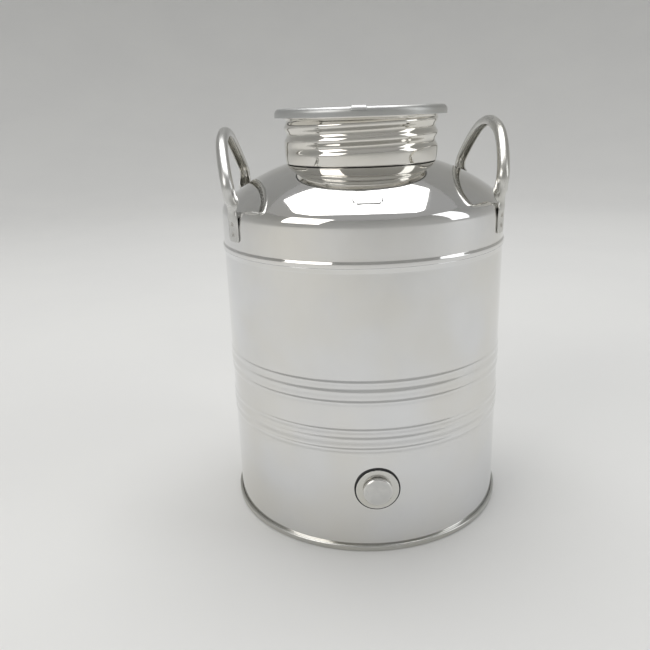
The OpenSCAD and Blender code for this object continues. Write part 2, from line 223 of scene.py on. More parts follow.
# ---------------------------------------------------------------- materials
class Mat:
    def __init__(self, name):
        self.m = bpy.data.materials.new(name)
        self.m.use_nodes = True
        self.t = self.m.node_tree
        self.t.nodes.clear()
        self.out = self.t.nodes.new("ShaderNodeOutputMaterial")
        self.b = self.t.nodes.new("ShaderNodeBsdfPrincipled")
        self.t.links.new(self.b.outputs[0], self.out.inputs[0])
        self.co = self.t.nodes.new("ShaderNodeTexCoord").outputs["Object"]

    def put(self, sock, v):
        if isinstance(v, bpy.types.NodeSocket):
            self.t.links.new(v, sock)
        else:
            sock.default_value = v

    def node(self, kind, ins=(), **props):
        n = self.t.nodes.new(kind)
        for k, v in props.items():
            setattr(n, k, v)
        for k, v in (ins.items() if isinstance(ins, dict) else enumerate(ins)):
            if v is not None:
                self.put(n.inputs[k], v)
        return n

    def math(self, op, a, b=0.0, c=None):
        return self.node("ShaderNodeMath", [a, b, c], operation=op).outputs[0]

    def noise(self, scale, detail=3.0, rough=0.5, stretch=(1, 1, 1), at=None, dist=0.0):
        v = self.node("ShaderNodeVectorMath", [at or self.co, stretch], operation="MULTIPLY").outputs[0]
        return self.node("ShaderNodeTexNoise", {"Vector": v, "Scale": scale, "Detail": detail,
                                                "Roughness": rough, "Distortion": dist}).outputs["Fac"]

    def ramp(self, v, lo, hi, a=0.0, b=1.0, smooth=True):
        return self.node("ShaderNodeMapRange", [v, lo, hi, a, b],
                         interpolation_type="SMOOTHSTEP" if smooth else "LINEAR").outputs[0]

    def mix(self, f, a, b):
        n = self.t.nodes.new("ShaderNodeMix"); n.data_type = "RGBA"
        self.put(n.inputs[0], f)
        self.put(n.inputs[6], (*a, 1) if isinstance(a, tuple) else a)
        self.put(n.inputs[7], (*b, 1) if isinstance(b, tuple) else b)
        return n.outputs[2]

    def bump(self, h, dist, strength=1.0, normal=None):
        n = self.node("ShaderNodeBump", {"Height": h, "Distance": dist, "Strength": strength})
        if normal is not None:
            self.t.links.new(normal, n.inputs["Normal"])
        return n.outputs[0]

    def wear(self):
        return self.node("ShaderNodeAttribute", attribute_name="wear").outputs["Fac"]

    def finish(self, **sockets):
        for k, v in sockets.items():
            self.put(self.b.inputs[k.replace("_", " ")], v)
        return self.m


def steel(name, base, rough, spread=0.03, grain=(6, 6, 700), grain_h=0.0, grain_r=0.02, wave=0.00002,
          wave_scale=22, smudge=0.05, tint=(0.97, 0.95, 0.90), aniso=0.0, tangent=None):
    """Sheet steel: base colour, mean roughness, directional grain, slow waves of the sheet, smudges, worn edges."""
    g = Mat(name)
    slow = g.noise(14, 2.0, 0.5)
    lines = g.noise(1.0, 4.0, 0.6, grain)
    spots = g.noise(34, 6.0, 0.62)
    wipe = g.ramp(spots, 0.52, 0.72)
    worn = g.wear()
    dark = tuple(c * t for c, t in zip(base, tint))
    col = g.mix(g.ramp(slow, 0.3, 0.7), dark, base)
    col = g.mix(g.math("MULTIPLY", wipe, 0.35), col, tuple(c * 0.94 for c in base))
    col = g.mix(g.math("MULTIPLY", worn, 0.5), col, tuple(min(1, c * 1.08) for c in base))
    r = g.ramp(slow, 0.25, 0.75, rough - spread * 0.5, rough + spread * 0.5)
    r = g.math("ADD", r, g.math("MULTIPLY", g.math("SUBTRACT", lines, 0.5), grain_r))
    r = g.math("ADD", r, g.math("MULTIPLY", wipe, smudge))
    r = g.math("ADD", r, g.math("MULTIPLY", worn, 0.05))
    r = g.math("MAXIMUM", r, 0.015)
    nrm = g.bump(g.noise(wave_scale, 1.5, 0.4), wave)
    if grain_h:
        nrm = g.bump(lines, grain_h, 1.0, nrm)
    if aniso:
        g.b.inputs["Anisotropic"].default_value = aniso
        tn = g.node("ShaderNodeTangent", direction_type="RADIAL", axis=tangent)
        g.t.links.new(tn.outputs[0], g.b.inputs["Tangent"])
    g.b.inputs["Metallic"].default_value = 1.0
    return g.finish(Base_Color=col, Roughness=r, Normal=nrm)


def dull(name, base, rough, bump_scale=900, bump_h=0.00002, spread=0.1, light=1.25):
    """Rubber and silicone: matt, finely pebbled, a little paler where it is rubbed."""
    g = Mat(name)
    fine = g.noise(bump_scale, 3.0, 0.6)
    slow = g.noise(60, 4.0, 0.6)
    worn = g.wear()
    col = g.mix(g.ramp(slow, 0.3, 0.7), base, tuple(min(1, c * light) for c in base))
    col = g.mix(g.math("MULTIPLY", worn, 0.4), col, tuple(min(1, c * light * 1.2 + 0.01) for c in base))
    r = g.math("ADD", g.ramp(slow, 0.25, 0.75, rough - spread, rough + spread), g.math("MULTIPLY", fine, 0.06))
    return g.finish(Base_Color=col, Roughness=r, Normal=g.bump(fine, bump_h))


MIRROR = steel("mirror_steel", (0.77, 0.775, 0.785), 0.045, 0.02, (500, 500, 5), 0.0, 0.02, 0.00003, 20, 0.03)
SHOULDER = steel("shoulder_steel", (0.77, 0.77, 0.77), 0.05, 0.02, (420, 420, 9), 0.0, 0.03, 0.00003, 24, 0.03)
LIDSTEEL = steel("lid_steel", (0.77, 0.76, 0.735), 0.05, 0.02, (5, 5, 600), 0.0, 0.02, 0.00002, 30, 0.03)
SATIN = steel("satin_steel", (0.56, 0.57, 0.575), 0.36, 0.06, (9, 9, 1500), 0.000012, 0.14, 0.00001, 60, 0.04,
              aniso=0.4, tangent="Z")
HANDLE = steel("handle_steel", (0.64, 0.64, 0.625), 0.25, 0.05, (700, 16, 16), 0.000006, 0.10, 0.00003, 60, 0.05)
WELD = steel("weld_steel", (0.52, 0.51, 0.49), 0.26, 0.08, (90, 90, 90), 0.00002, 0.12, 0.00004, 120, 0.06,
             tint=(0.86, 0.80, 0.70))
INNER = steel("inner_steel", (0.58, 0.58, 0.57), 0.24, 0.06, (8, 8, 500), 0.000006, 0.08, 0.00004, 40, 0.05)
SEAM = steel("seam_steel", (0.60, 0.60, 0.585), 0.16, 0.05, (8, 8, 900), 0.000006, 0.08, 0.00003, 60, 0.06)
RING = steel("ring_steel", (0.70, 0.70, 0.68), 0.22, 0.05, (160, 900, 160), 0.000006, 0.08, 0.00002, 90, 0.06)


def turned():
    """Faced on a lathe: fine rings about the port's axis."""
    g = Mat("turned_steel")
    sep = g.node("ShaderNodeSeparateXYZ", [g.co])
    z = g.math("SUBTRACT", sep.outputs[2], PORT_Z * MM)
    rad = g.math("SQRT", g.math("ADD", g.math("MULTIPLY", sep.outputs[0], sep.outputs[0]), g.math("MULTIPLY", z, z)))
    comb = g.node("ShaderNodeCombineXYZ", [rad, 0.0, 0.0]).outputs[0]
    rings = g.node("ShaderNodeTexNoise", {"Vector": comb, "Scale": 2600.0, "Detail": 3.0, "Roughness": 0.6}).outputs["Fac"]
    slow = g.noise(90, 3.0, 0.5)
    worn = g.wear()
    col = g.mix(g.ramp(slow, 0.3, 0.7), (0.60, 0.60, 0.59), (0.70, 0.695, 0.68))
    # convex edges and chamfers lighter: partly rubbed wear, partly a painted highlight on the chamfers
    col = g.mix(g.math("MULTIPLY", worn, 0.6), col, (0.80, 0.79, 0.77))
    r = g.math("ADD", g.ramp(slow, 0.25, 0.75, 0.20, 0.28), g.math("MULTIPLY", g.math("SUBTRACT", rings, 0.5), 0.25))
    g.b.inputs["Metallic"].default_value = 1.0
    g.b.inputs["Anisotropic"].default_value = 0.55
    tn = g.node("ShaderNodeTangent", direction_type="RADIAL", axis="Y")
    g.t.links.new(tn.outputs[0], g.b.inputs["Tangent"])
    return g.finish(Base_Color=col, Roughness=r, Normal=g.bump(rings, 0.00001))


TURNED = turned()
RUBBER = dull("black_rubber", (0.012, 0.012, 0.013), 0.55, 1200, 0.00003)
SILICONE = dull("white_silicone", (0.80, 0.79, 0.75), 0.42, 900, 0.00001, 0.06, 1.05)


# ---------------------------------------------------------------- can
def wall_r(z):
    """Wall radius with its ribs."""
    r = np.full_like(np.asarray(z, float), R)
    for z0, w, h in RIBS:
        u = (z - z0) / w
        r = np.where((u > 0) & (u < 1), R + h * np.sin(np.pi * u) ** 2, r)
    return r


def rib_rows(step_flat, per_narrow, per_wide, lo, hi):
    zs = [lo]
    z = lo
    for z0, w, h in RIBS:
        k = max(1, int(round((z0 - zs[-1]) / step_flat)))
        if z0 > zs[-1] + 1e-6:
            zs += list(np.linspace(zs[-1], z0, k + 1)[1:])
        n = per_narrow if w < 7 else per_wide
        zs += list(np.linspace(z0, z0 + w, n + 1)[1:])
    k = max(1, int(round((hi - zs[-1]) / step_flat)))
    zs += list(np.linspace(zs[-1], hi, k + 1)[1:])
    return np.array(zs)


def waves(a, z, amp):
    """Slow unevenness of rolled sheet, in mm."""
    return amp * (np.sin(2 * a + 1.1) * np.sin(z / 47.0 + 0.4) * 0.9
                  + 0.55 * np.sin(5 * a + 0.4 + z / 61.0) + 0.30 * np.sin(9 * a - z / 33.0 + 2.0)
                  + 0.14 * np.sin(17 * a + z / 17.0))


def body_shell():
    n = 300
    zo = rib_rows(6.0, 18, 24, 2.45, WALL_TOP)
    zi = rib_rows(20.0, 8, 10, 2.6, WALL_TOP)[::-1]
    a = np.arange(n)[:, None] * TAU / n
    fade = np.clip((zo - 6) / 12, 0, 1) * np.clip((WALL_TOP - 4 - zo) / 12, 0, 1)
    ro = wall_r(zo)[None, :] + waves(a, zo[None, :], 0.035) * fade[None, :]
    foot = [(R - T, 1.6), (R + 1.2, 1.6), (R + 1.2, 2.45)]
    rr = np.concatenate([np.tile([p[0] for p in foot], (n, 1)), ro,
                         np.tile(wall_r(zi) - T, (n, 1))], 1)
    zz = np.tile(np.concatenate([[p[1] for p in foot], zo, zi]), (n, 1))
    v, f = lathe((np.stack([rr, zz], -1), n))
    return v, f


v, f = body_shell()
me = bpy.data.meshes.new("shell_raw")
me.from_pydata((v * MM).tolist(), [], f)
bm = bmesh.new(); bm.from_mesh(me); bmesh.ops.recalc_face_normals(bm, faces=bm.faces); bm.to_mesh(me); bm.free()
raw = bpy.data.objects.new("shell_raw", me)
bpy.context.scene.collection.objects.link(raw)
cm = bpy.data.meshes.new("cutter")
bm = bmesh.new()
bmesh.ops.create_cone(bm, cap_ends=True, segments=96, radius1=8.5 * MM, radius2=8.5 * MM, depth=30 * MM,
                      matrix=Matrix.Translation((0, -R * MM, PORT_Z * MM)) @ Matrix.Rotation(math.pi / 2, 4, "X"))
bm.to_mesh(cm); bm.free()
cut = bpy.data.objects.new("cutter", cm)
bpy.context.scene.collection.objects.link(cut)
mod = raw.modifiers.new("hole", "BOOLEAN")
mod.object, mod.operation, mod.solver = cut, "DIFFERENCE", "EXACT"
bpy.context.view_layer.update()
done = raw.evaluated_get(bpy.context.evaluated_depsgraph_get()).to_mesh()
sv = np.array([x.co[:] for x in done.vertices]) / MM
sf = [list(p.vertices) for p in done.polygons]
for o in (raw, cut):
    bpy.data.objects.remove(o)
add("wall_sheet", sv, sf, "can", MIRROR, ["body_shell"], 40)


def dome_pts(off, n1=18, n2=40):
    a = arc(R - SH_ROUND, SH_Z, SH_ROUND + off, 0, A1, n1)
    b = arc(C2R, C2Z, DOME_RAD + off, A1, A2, n2)[1:]
    return a + b


def shoulder():
    n = 320
    low = fillet([(R + FIT, LAP_Z), (R + LAP_PROUD, LAP_Z), (R + LAP_PROUD, LAP_Z + 2.8), (R, LAP_Z + 4.4),
                  (R, LAP_Z + 9)], [0, 0.25, 0.9, 0.9, 0], 6, closed=False)
    up = [(R, z) for z in np.linspace(LAP_Z + 12, SH_Z - 1.5, 5)]
    outer = low + up + dome_pts(0) + [(HOLE_R, NECK_Z + 0.2)]
    inner = [(HOLE_R, NECK_Z + 0.2 - T)] + dome_pts(-T, 10, 20)[::-1] + [(R - T, LAP_Z + 4.0), (R + FIT, LAP_Z + 2.5)]
    outer, inner = np.array(outer), np.array(inner)
    a = np.arange(n)[:, None] * TAU / n
    k = np.clip((outer[:, 1] - (LAP_Z + 8)) / 8, 0, 1) * np.clip((outer[:, 0] - 60) / 15, 0, 1)
    ro = outer[None, :, 0] + waves(a, outer[None, :, 1] * 1.7, 0.03) * k[None, :]
    zo = outer[None, :, 1] + waves(a + 1, outer[None, :, 0] * 1.9, 0.03) * np.clip((outer[None, :, 1] - 250) / 8, 0, 1) * k[None, :]
    rr = np.concatenate([ro, np.tile(inner[:, 0], (n, 1))], 1)
    zz = np.concatenate([zo, np.tile(inner[:, 1], (n, 1))], 1)
    return lathe((np.stack([rr, zz], -1), n))


v, f = shoulder()
add("shoulder_sheet", v, f, "can", SHOULDER, ["shoulder_top"], 40)

# rolled seam and bottom
prof = ([(R - 1.6, 0.0)] + arc(SEAM_R - 1, 1, 1, -90, 0, 8) + arc(SEAM_R - 1.2, SEAM_H - 1.2, 1.2, 0, 90, 10)
        + [(R + 0.35, SEAM_H), (R + 0.03, SEAM_H - 0.4), (R + 0.03, 2.5), (R + 1.25, 2.5), (R + 1.25, 0.75),
           (R - 1.6, 0.75)])
v, f = lathe((prof, 300))
add("base_seam", v, f, "can", SEAM, ["bottom_seam_ring"], 35)
z = BOTTOM_Z
prof = fillet([(0, z + 0.6), (60, z + 0.6), (62, z), (R - 2.9, z), (R - 1.7, z - 1.2), (R - 1.7, 0.8), (R + 1.2, 0.8),
               (R + 1.2, 1.55), (R - 0.85, 1.55), (R - 0.85, z - 0.6), (R - 2.4, z + T), (62.3, z + T),
               (60.3, z + 0.6 + T), (0, z + 0.6 + T)],
              [0, 1.5, 1.5, 0.8, 0.4, 0.1, 0.1, 0.1, 0.2, 0.5, 0.6, 1.5, 1.5, 0], 5)
v, f = lathe((prof, 256))
add("base_sheet", v, f, "can", INNER, ["bottom_disc"], 35)

# welds
prof = [(R + 0.02, LAP_Z - 3.6), (R + 0.18, LAP_Z - 3.0), (R + 0.34, LAP_Z - 2.0), (R + 0.55, LAP_Z - 1.0),
        (R + LAP_PROUD - 0.04, LAP_Z - 0.1), (R + LAP_PROUD - 0.1, LAP_Z - 0.02), (R + 0.02, LAP_Z - 0.02)]
v, f = lathe((prof, 300))
add("lap_weld", v, f, "can", MIRROR, ["shoulder_weld"], 50)


def bead(prof, n, amp, waves_n, mid):
    """A weld bead: fine ripples along its run."""
    p = np.array(prof, float)
    a = np.arange(n)[:, None] * TAU / n
    lift = amp * (np.abs(np.sin(waves_n * a / 2 + 0.3 * np.sin(5 * a))) - 0.5)
    w = np.array(mid)[None, :]
    s = np.stack([p[None, :, 0] + lift * w * 0.7, p[None, :, 1] + lift * w * 0.7], -1)
    return lathe((s, n))


z = NECK_Z
v, f = bead([(HOLE_R, z + 0.25), (NECK_R + 0.9, z + 0.04), (NECK_R + 1.15, z + 0.02), (NECK_R + 0.9, z + 0.42),
             (NECK_R + 0.55, z + 0.85), (NECK_R + 0.25, z + 1.35), (HOLE_R, z + 1.7)], 720, 0.12, 180,
            [0, 0, 0, 1, 1, 0.6, 0])
add("neck_bead", v, f, "can", WELD, ["neck_weld"], 60)

# butt weld up the back of the wall
zs = rib_rows(1.2, 10, 14, SEAM_H + 0.3, WALL_TOP - 1.2)
zs = zs[zs < LAP_Z - 3.8]
u = np.linspace(-1, 1, 9)
w = np.radians(90 + 0.8 * u)
ripple = 0.022 * np.abs(np.sin(zs * 2.6))[:, None] * (1 - u ** 2)[None, :]
rr = wall_r(zs)[:, None] + 0.02 + 0.078 * (1 - u[None, :] ** 4) + ripple
top = np.stack([rr * np.cos(w), rr * np.sin(w), np.tile(zs[:, None], (1, 9))], -1)
rb = wall_r(zs)[:, None] - 0.05 + 0 * w[None, :]
low = np.stack([rb * np.cos(w), rb * np.sin(w), np.tile(zs[:, None], (1, 9))], -1)[:, ::-1]
ring = np.concatenate([top, low], 1)
n, m = ring.shape[:2]
faces = grid_faces(n, m, False, True) + [list(range(m)), list(range((n - 1) * m, n * m))[::-1]]
add("side_bead", ring.reshape(-1, 3), faces, "can", WELD, ["body_side_weld"], 60)


# raised oval pad on the dome
def dome_height(r):
    """z of the outer skin of the dome at radius r, and the slope's unit normal."""
    r = np.asarray(r, float)
    on1 = r > P1R
    zz = np.where(on1, SH_Z + np.sqrt(np.maximum(SH_ROUND ** 2 - (r - (R - SH_ROUND)) ** 2, 0)),
                  C2Z + np.sqrt(np.maximum(DOME_RAD ** 2 - (r - C2R) ** 2, 0)))
    cr = np.where(on1, R - SH_ROUND, C2R); cz = np.where(on1, SH_Z, C2Z)
    nr, nz = r - cr, zz - cz
    ln = np.hypot(nr, nz)
    return zz, nr / ln, nz / ln


def oval_pad():
    nr, na = 16, 96
    t = np.arange(na) * TAU / na
    ex, ey = np.where(np.cos(t) > 0, 6, -6), 0
    rows = []
    for i in range(nr + 1):
        k = i / nr
        s = 4.2 * k
        x = ex * min(1, k * 1.5) + s * np.cos(t)
        y = s * np.sin(t)
        lift = 0.58 * (1 - ease(k, 0.78, 1.0)) - 0.20 * (1 - ease(k, 0.50, 0.62))
        rows.append(np.stack([x, y, np.full(na, lift)], -1))
    p = np.array(rows)
    c, s_ = math.cos(math.radians(-2)), math.sin(math.radians(-2))
    X = p[..., 0] * c - (p[..., 1] - 95) * s_
    Y = p[..., 0] * s_ + (p[..., 1] - 95) * c
    r = np.hypot(X, Y)
    zz, nr_, nz_ = dome_height(r)
    r2, z2 = r + nr_ * p[..., 2], zz + nz_ * p[..., 2]
    top = np.stack([X * r2 / r, Y * r2 / r, z2], -1)
    base = np.stack([X, Y, zz - 0.05], -1)[-1]
    v = np.concatenate([top[1:].reshape(-1, 3), base, [top[0].mean(0)]])
    rings_n = nr + 1
    f = grid_faces(rings_n, na, False, True)
    last = len(v) - 1
    f += [[last, (j + 1) % na, j] for j in range(na)]
    f += [list(range((rings_n - 1) * na, rings_n * na))]
    return v, f


v, f = oval_pad()
add("oval_pad", v, f, "can", SHOULDER, ["shoulder_emboss"], 60)

# neck and mouth
n = 288
a = np.degrees(np.arange(n) * TAU / n)
zo = np.concatenate([[NECK_Z - 2.6, NECK_Z + 2, NECK_Z + 5], np.arange(NECK_Z + 7.4, NECK_Z + 24.4, 0.5), [NECK_Z + 24.6]])
ridge = neck_ridge(zo[None, :], a[:, None])
rr = np.concatenate([NECK_R + ridge, (NECK_R - T + ridge)[:, ::-1]], 1)
zz = np.tile(np.concatenate([zo, zo[::-1]]), (n, 1))
v, f = lathe((np.stack([rr, zz], -1), n))
add("neck_sheet", v, f, "can", LIDSTEEL, ["neck_collar"], 40)
prof = arc(NECK_R - 1.8, NECK_Z + 26.15, 1.95, -52, 232, 40) + [(NECK_R - T - 0.17, NECK_Z + 24.45)]
prof = [p for p in arc(NECK_R - 1.8, NECK_Z + 26.15, 1.95, -40, 300, 48)] + [(NECK_R - T - 0.17, NECK_Z + 24.63)]
v, f = lathe((prof, 256))
add("mouth_bead", v, f, "can", LIDSTEEL, ["mouth_ring"], 60)


# handles
ROUTE = [(97, 53.3, 226), (97, 53.3, 237), (97, 54.5, 243), (97.2, 56.4, 252), (97.4, 66.8, 266),
         (99.2, 55.8, 281), (100.7, 37.5, 294.2), (101.2, 20.6, 300.6), (101.4, 0, 303.2)]
STRIP_W, STRIP_T, STRIP_ROLL = 16.5, 1.2, 250.0


def handle_line(shift, drop, lean):
    full = [np.array((p[0], -p[1], p[2]), float) for p in ROUTE] + [np.array(p, float) for p in ROUTE[-2::-1]]
    at = lambda i: (2 * full[0] - full[1]) if i < 0 else (2 * full[-1] - full[-2]) if i >= len(full) else full[i]
    out = []
    for i in range(len(full) - 1):
        a, b, c, d = at(i - 1), at(i), at(i + 1), at(i + 2)
        for k in range(40):
            u = k / 40
            out.append(0.5 * (2 * b + (c - a) * u + (2 * a - 5 * b + 4 * c - d) * u * u
                              + (3 * b - a - 3 * c + d) * u ** 3))
    out.append(full[-1])
    p = np.array(out)
    z = p[:, 2].copy()
    p[:, 0] += shift * ease(z, 243, 320) - lean * (ease(z, 243, 264) - 1.25 * ease(z, 258, 312))
    p[:, 2] -= drop * ease(z, 252, 303.2)
    return p


def strip_handle(shift, drop, lean, mirror):
    p = handle_line(shift, drop, lean)
    s = np.concatenate([[0], np.cumsum(np.linalg.norm(np.diff(p, axis=0), axis=1))])
    total = s[-1]
    ends = np.array([0, 0.12, 0.35, 0.7, 1.2, 1.8, 2.6, 3.5])
    mid = np.linspace(3.5, total - 3.5, 190)[1:-1]
    st = np.concatenate([ends, mid, (total - ends)[::-1]])
    line = np.stack([np.interp(st, s, p[:, i]) for i in range(3)], -1)
    h = 1.0
    ahead = np.stack([np.interp(np.clip(st + h, 0, total), s, p[:, i]) for i in range(3)], -1)
    back = np.stack([np.interp(np.clip(st - h, 0, total), s, p[:, i]) for i in range(3)], -1)
    tan = ahead - back
    tan /= np.linalg.norm(tan, axis=1)[:, None]
    rings = []
    ns, nc = 26, 6
    for c, tg, x in zip(line, tan, st):
        k = float(ease(c[2], 245, 263))
        out = np.array([c[0], c[1], 0]); out /= np.linalg.norm(out)
        up = np.cross([1, 0, 0], tg); up /= np.linalg.norm(up)
        b0 = out * (1 - k) + up * k; b0 /= np.linalg.norm(b0)
        b = b0 - tg * (b0 @ tg); b /= np.linalg.norm(b)
        w = np.cross(b, tg)
        d = min(x, total - x)
        rc = 3.5
        waist = math.sin(math.pi * min(max((c[2] - 242) / 20, 0), 1)) ** 2
        wide = STRIP_W * (1 - 0.3 * waist) - (2 * (rc - math.sqrt(max(rc * rc - (rc - d) ** 2, 0))) if d < rc else 0)
        full = (wide / 110.7 * 180 / math.pi) * (1 - k) + (STRIP_ROLL * wide / STRIP_W) * k
        rad = wide / math.radians(full)
        off = k * STRIP_W / math.radians(STRIP_ROLL)
        half = math.radians(full) / 2
        e = STRIP_T / 2
        trim = e / rad                      # rounded edges stay inside the strip's width
        q1 = half - trim
        q = np.linspace(-q1, q1, ns + 1)
        pts = [((rad + e) * np.cos(q), (rad + e) * np.sin(q))]
        ph = np.linspace(0, math.pi, nc + 2)[1:-1]
        pts.append((rad * math.cos(q1) + e * (np.cos(ph) * math.cos(q1) - np.sin(ph) * math.sin(q1)),
                    rad * math.sin(q1) + e * (np.cos(ph) * math.sin(q1) + np.sin(ph) * math.cos(q1))))
        pts.append(((rad - e) * np.cos(q[::-1]), (rad - e) * np.sin(q[::-1])))
        pts.append((rad * math.cos(q1) + e * (-np.cos(ph) * math.cos(q1) - np.sin(ph) * math.sin(q1)),
                    -(rad * math.sin(q1)) + e * (np.cos(ph) * math.sin(q1) - np.sin(ph) * math.cos(q1))))
        cx = np.concatenate([t[0] for t in pts]) - rad + off
        cy = np.concatenate([t[1] for t in pts])
        rings.append(c + b * cx[:, None] + w * cy[:, None])
    ring = np.array(rings)
    n, m = ring.shape[:2]
    faces = grid_faces(n, m, False, True)
    no = ns + 1
    for base, rev_ in ((0, False), ((n - 1) * m, True)):
        cap = []
        for i in range(ns):
            cap.append([base + i, base + i + 1, base + no + nc + (ns - i - 1), base + no + nc + (ns - i)])
        cap.append([base + ns] + [base + no + j for j in range(nc)] + [base + no + nc])
        cap.append([base + 2 * no + nc - 1] + [base + 2 * no + nc + j for j in range(nc)] + [base])
        faces += [c_[::-1] for c_ in cap] if rev_ else cap
    v = ring.reshape(-1, 3)
    if mirror:
        v = v * np.array([-1, 1, 1])
    return v, faces


v, f = strip_handle(-2.8, 0.0, 4.2, False)
add("handle_right", v, f, "can", HANDLE, ["right_handle"], 50)
v, f = strip_handle(2.8, 2.5, 0.9, True)
add("handle_left", v, f, "can", HANDLE, ["left_handle"], 50)

# spot welds: a shallow ring round a dimple, tilted with the tab
tab = handle_line(0, 0, 0)


def tab_r(z):
    i = int(np.argmax(tab[:, 2] > z))
    a, b = tab[i - 1], tab[i]
    p = a + (b - a) * (z - a[2]) / (b[2] - a[2])
    return math.hypot(p[0], p[1])


sv, sf = [], []
spot = [(0, 0.06), (0.45, 0.07), (0.8, 0.12), (1.1, 0.24), (1.3, 0.29), (1.5, 0.24), (1.66, 0.10), (1.69, 0.0),
        (1.69, -0.05), (0, -0.05)]
pv, pf = lathe((spot, 40))
for s0 in (math.atan2(53.3, 97), -math.atan2(53.3, 97), math.pi - math.atan2(53.3, 97), math.pi + math.atan2(53.3, 97)):
    for z in (231.4, 238.7):
        tilt = math.atan((tab_r(z + 1.7) - tab_r(z - 1.7)) / 3.4)
        m = (Matrix.Rotation(s0, 4, "Z") @ Matrix.Translation((tab_r(z) + STRIP_T / 2 + 0.06, 0, z))
             @ Matrix.Rotation(math.pi / 2 + tilt, 4, "Y"))
        mv = np.array(m)
        base = len(sv) and sum(len(x) for x in sv)
        sv.append(pv @ mv[:3, :3].T + mv[:3, 3])
        sf += [[int(i) + base for i in q] for q in pf]
add("spot_welds", np.concatenate(sv), sf, "can", WELD, ["handle_spot_welds"], 50)


# ---------------------------------------------------------------- drain port
def seal():
    """Rubber ring: flat outside, hollow inside to lie on the wall."""
    n = 192
    t = np.arange(n) * TAU / n
    rows = []
    def row(r, y):
        rows.append(np.stack([r * np.cos(t), np.broadcast_to(-np.asarray(y, float), (n,)), PORT_Z + r * np.sin(t)], -1))
    hug = lambda r: np.sqrt((R + 0.02) ** 2 - (r * np.cos(t)) ** 2)
    for r in np.linspace(8.5, SEAL_R - 0.3, 8):
        row(r, SEAL_Y)
    for p in arc(SEAL_R - 0.3, 0.3, 0.3, -90, 0, 6)[1:]:
        row(p[0], SEAL_Y - p[1])
    for r in (SEAL_R, 15.5, 14, 12, 10, 8.5):
        row(r, hug(r))
    p = np.array(rows)
    k, n2 = p.shape[:2]
    return p.reshape(-1, 3), grid_faces(k, n2, True, True)


v, f = seal()
add("port_seal", v, f, "can", RUBBER, ["port_outer_gasket"], 40)

d = SEAT_Y - 110.77
prof = fillet([(8.5, 0), (SEAT_R, 0), (SEAT_R, d), (8.5, d)], [0, 0.08, 0.44, 0.12], 6)
fine = []
for a, b in zip(prof, prof[1:]):
    k = max(1, int(abs(b[0] - a[0]) / 0.7))
    fine += [(a[0] + (b[0] - a[0]) * i / k, a[1] + (b[1] - a[1]) * i / k) for i in range(k)]
v, f = lathe_y(fine + [prof[-1]], 192, 110.77)
add("port_boss", v, f, "can", RING, ["port_seat"], 40)

y0 = SEAT_Y + 0.02
d = PLUG_SEAL - 0.04
prof = fillet([(STEM_R + 0.05, 0), (PLUG_R - 0.8, 0), (PLUG_R - 0.8, d), (STEM_R + 0.05, d)], [0, 0.15, 0.15, 0], 5)
v, f = lathe_y(prof, 128, y0)
add("plug_washer", v, f, "plug_seal", RUBBER, ["plug_gasket"], 40)


def plug():
    """Head and threaded stem. h runs inwards from the head's face."""
    n = 160
    head = fillet([(0.0, 0.25), (1.2, 0.12), (PLUG_R - 0.75, 0.0), (PLUG_R, 0.7), (PLUG_R, PLUG_HEAD - 0.3),
                   (PLUG_R - 0.3, PLUG_HEAD), (STEM_R - 0.05, PLUG_HEAD)], [0, 0.5, 0.12, 0.2, 0.12, 0.12, 0], 4,
                  closed=False)
    fine = []
    for a, b in zip(head, head[1:]):
        k = max(1, int(abs(b[0] - a[0]) / 0.6))
        fine += [(a[0] + (b[0] - a[0]) * i / k, a[1] + (b[1] - a[1]) * i / k) for i in range(k)]
    head = np.array(fine + [head[-1]])
    t = np.arange(n) / n
    hs = np.arange(PLUG_HEAD + 0.3, PLUG_HEAD + STEM_L - 1.0, 0.19)
    turn = hs[None, :] / 1.5 + t[:, None]
    tri = np.abs((turn % 1.0) * 2 - 1)
    on = ease(hs, PLUG_HEAD + 1.0, PLUG_HEAD + 2.2) * (1 - ease(hs, PLUG_HEAD + STEM_L - 2.2, PLUG_HEAD + STEM_L - 1.2))
    rs = STEM_R - 0.06 - 0.85 * on[None, :] * np.clip(tri * 1.25 - 0.12, 0, 1)
    rs = rs - 0.55 * (1 - ease(hs, PLUG_HEAD + 0.4, PLUG_HEAD + 1.2))[None, :] * 0
    end = np.array([(STEM_R - 1.0, PLUG_HEAD + STEM_L - 0.2), (STEM_R - 1.4, PLUG_HEAD + STEM_L), (3.0, PLUG_HEAD + STEM_L), (0.0, PLUG_HEAD + STEM_L)])
    rr = np.concatenate([np.tile(head[:, 0], (n, 1)), rs, np.tile(end[:, 0], (n, 1))], 1)
    hh = np.tile(np.concatenate([head[:, 1], hs, end[:, 1]]), (n, 1))
    v, f = lathe((np.stack([rr, hh], -1), n), closed=False)
    y = SEAT_Y + PLUG_SEAL + PLUG_HEAD
    return np.stack([v[:, 0], -(y - v[:, 2]), PORT_Z + v[:, 1]], -1), f


v, f = plug()
add("plug_metal", v, f, "plug", TURNED, ["drain_plug"], 28)


